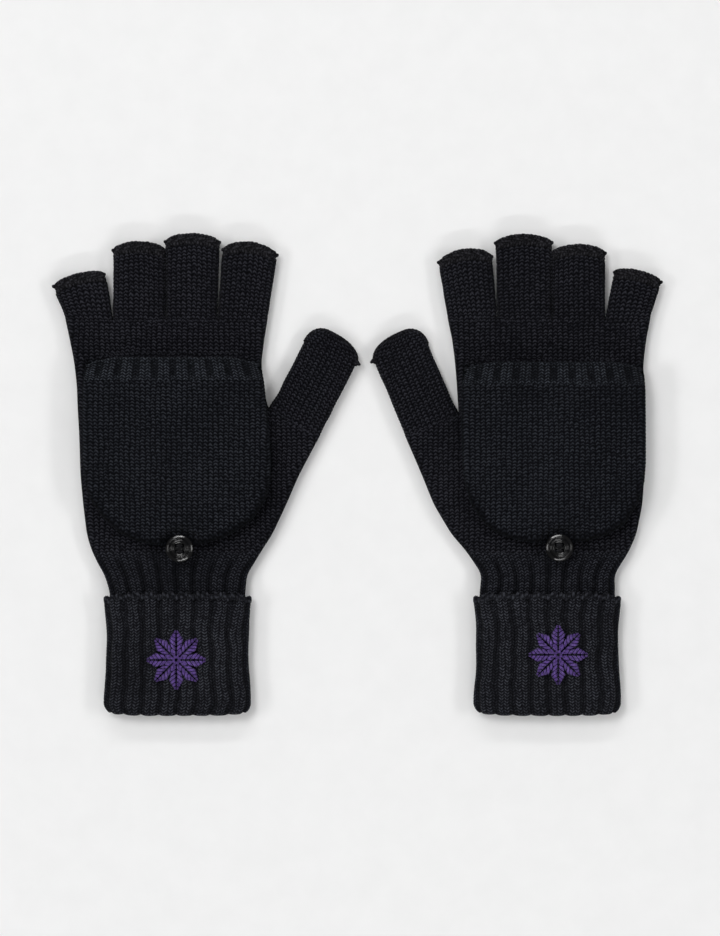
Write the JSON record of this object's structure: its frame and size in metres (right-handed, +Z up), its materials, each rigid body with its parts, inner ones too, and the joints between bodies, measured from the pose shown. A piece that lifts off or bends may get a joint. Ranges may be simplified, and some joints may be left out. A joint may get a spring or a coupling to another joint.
{
  "type": "convertible flip-top mittens",
  "caption": "Pair of knitted convertible mittens: open-ended half-finger gloves with a fold-back pocket flap buttoned at the wrist, closed thumbs and turned-up ribbed cuffs.",
  "frame": {"origin": "middle of the pair on the plane that it rests on", "axes": "+X towards the right-hand mitten, +Y from the cuffs to the fingertips, +Z up from the palms to the backs of the hands"},
  "size_m": [0.3035, 0.2404, 0.0145],
  "materials": {
    "palm_knit": "stocking-stitch acrylic knit, matt, charcoal black",
    "rib_knit": "two-by-two rib knit, matt, charcoal black",
    "flap_knit": "stocking-stitch acrylic knit, matt, blue-black",
    "edge_yarn": "chunky linked edge row in the same yarn",
    "button_black": "glossy black resin",
    "button_thread": "black sewing thread",
    "embroidery": "purple satin stitch with a sheen"
  },
  "bodies": {
    "left_mitten": {"left_hand_shell": "palm_knit", "left_wrist_rib": "rib_knit", "left_cuff": "rib_knit", "left_cuff_edge": "edge_yarn", "left_cuff_star": "embroidery", "left_flap_seam": "edge_yarn", "left_button_shank": "button_thread"},
    "left_flap": {"left_flap_back_panel": "flap_knit", "left_flap_palm_panel": "flap_knit", "left_flap_side_seam": "flap_knit", "left_flap_rib_welt": "rib_knit", "left_button_loop": "edge_yarn"},
    "left_button_disc": {"left_button": "button_black", "left_button_stitch": "button_thread"},
    "left_thumb": {"left_thumb_stall": "palm_knit", "left_thumb_tip_seam": "edge_yarn"},
    "left_little_finger": {"left_little_stall": "palm_knit", "left_little_band": "edge_yarn"},
    "left_ring_finger": {"left_ring_stall": "palm_knit", "left_ring_band": "edge_yarn"},
    "left_middle_finger": {"left_middle_stall": "palm_knit", "left_middle_band": "edge_yarn"},
    "left_index_finger": {"left_index_stall": "palm_knit", "left_index_band": "edge_yarn"},
    "right_mitten": {"right_hand_shell": "palm_knit", "right_wrist_rib": "rib_knit", "right_cuff": "rib_knit", "right_cuff_edge": "edge_yarn", "right_cuff_star": "embroidery", "right_flap_seam": "edge_yarn", "right_button_shank": "button_thread"},
    "right_flap": {"right_flap_back_panel": "flap_knit", "right_flap_palm_panel": "flap_knit", "right_flap_side_seam": "flap_knit", "right_flap_rib_welt": "rib_knit", "right_button_loop": "edge_yarn"},
    "right_button_disc": {"right_button": "button_black", "right_button_stitch": "button_thread"},
    "right_thumb": {"right_thumb_stall": "palm_knit", "right_thumb_tip_seam": "edge_yarn"},
    "right_little_finger": {"right_little_stall": "palm_knit", "right_little_band": "edge_yarn"},
    "right_ring_finger": {"right_ring_stall": "palm_knit", "right_ring_band": "edge_yarn"},
    "right_middle_finger": {"right_middle_stall": "palm_knit", "right_middle_band": "edge_yarn"},
    "right_index_finger": {"right_index_stall": "palm_knit", "right_index_band": "edge_yarn"}
  },
  "joints": [
    {"name": "left_flap_flip", "type": "hinge", "parent": "left_mitten", "child": "left_flap", "pos_m": [-0.0901, 0.058, 0.011], "axis": [-1, 0, 0], "range_deg": [0, 180], "deforming": ["left_button_loop"]},
    {"name": "left_button_turn", "type": "hinge", "parent": "left_mitten", "child": "left_button_disc", "pos_m": [-0.0888, -0.0369, 0.0106], "axis": [0, 0, 1], "range_deg": [-25, 25]},
    {"name": "left_thumb_swing", "type": "hinge", "parent": "left_mitten", "child": "left_thumb", "pos_m": [-0.0446, 0.0334, 0.0036], "axis": [0, 0, 1], "range_deg": [0, 20]},
    {"name": "left_little_lift", "type": "hinge", "parent": "left_mitten", "child": "left_little_finger", "pos_m": [-0.1348, 0.0808, 0.0036], "axis": [-1, 0, 0], "range_deg": [-25, 0]},
    {"name": "left_ring_lift", "type": "hinge", "parent": "left_mitten", "child": "left_ring_finger", "pos_m": [-0.1094, 0.0808, 0.0036], "axis": [-1, 0, 0], "range_deg": [-25, 0]},
    {"name": "left_middle_lift", "type": "hinge", "parent": "left_mitten", "child": "left_middle_finger", "pos_m": [-0.0831, 0.0808, 0.0036], "axis": [-1, 0, 0], "range_deg": [-25, 0]},
    {"name": "left_index_lift", "type": "hinge", "parent": "left_mitten", "child": "left_index_finger", "pos_m": [-0.0573, 0.0808, 0.0036], "axis": [-1, 0, 0], "range_deg": [-25, 0]},
    {"name": "right_flap_flip", "type": "hinge", "parent": "right_mitten", "child": "right_flap", "pos_m": [0.095, 0.0558, 0.011], "axis": [-1, 0, 0], "range_deg": [0, 180], "deforming": ["right_button_loop"]},
    {"name": "right_button_turn", "type": "hinge", "parent": "right_mitten", "child": "right_button_disc", "pos_m": [0.1007, -0.0365, 0.0106], "axis": [0, 0, 1], "range_deg": [-25, 25]},
    {"name": "right_thumb_swing", "type": "hinge", "parent": "right_mitten", "child": "right_thumb", "pos_m": [0.0507, 0.0312, 0.0036], "axis": [0, 0, -1], "range_deg": [0, 13]},
    {"name": "right_little_lift", "type": "hinge", "parent": "right_mitten", "child": "right_little_finger", "pos_m": [0.1358, 0.0808, 0.0036], "axis": [-1, 0, 0], "range_deg": [-25, 0]},
    {"name": "right_ring_lift", "type": "hinge", "parent": "right_mitten", "child": "right_ring_finger", "pos_m": [0.1109, 0.0808, 0.0036], "axis": [-1, 0, 0], "range_deg": [-25, 0]},
    {"name": "right_middle_lift", "type": "hinge", "parent": "right_mitten", "child": "right_middle_finger", "pos_m": [0.0836, 0.0808, 0.0036], "axis": [-1, 0, 0], "range_deg": [-25, 0]},
    {"name": "right_index_lift", "type": "hinge", "parent": "right_mitten", "child": "right_index_finger", "pos_m": [0.0573, 0.0808, 0.0036], "axis": [-1, 0, 0], "range_deg": [-25, 0]},
    {"name": "right_mitten_lift", "type": "slide", "parent": "left_mitten", "child": "right_mitten", "axis": [0, 0, 1], "range_m": [0, 0.08]}
  ]
}
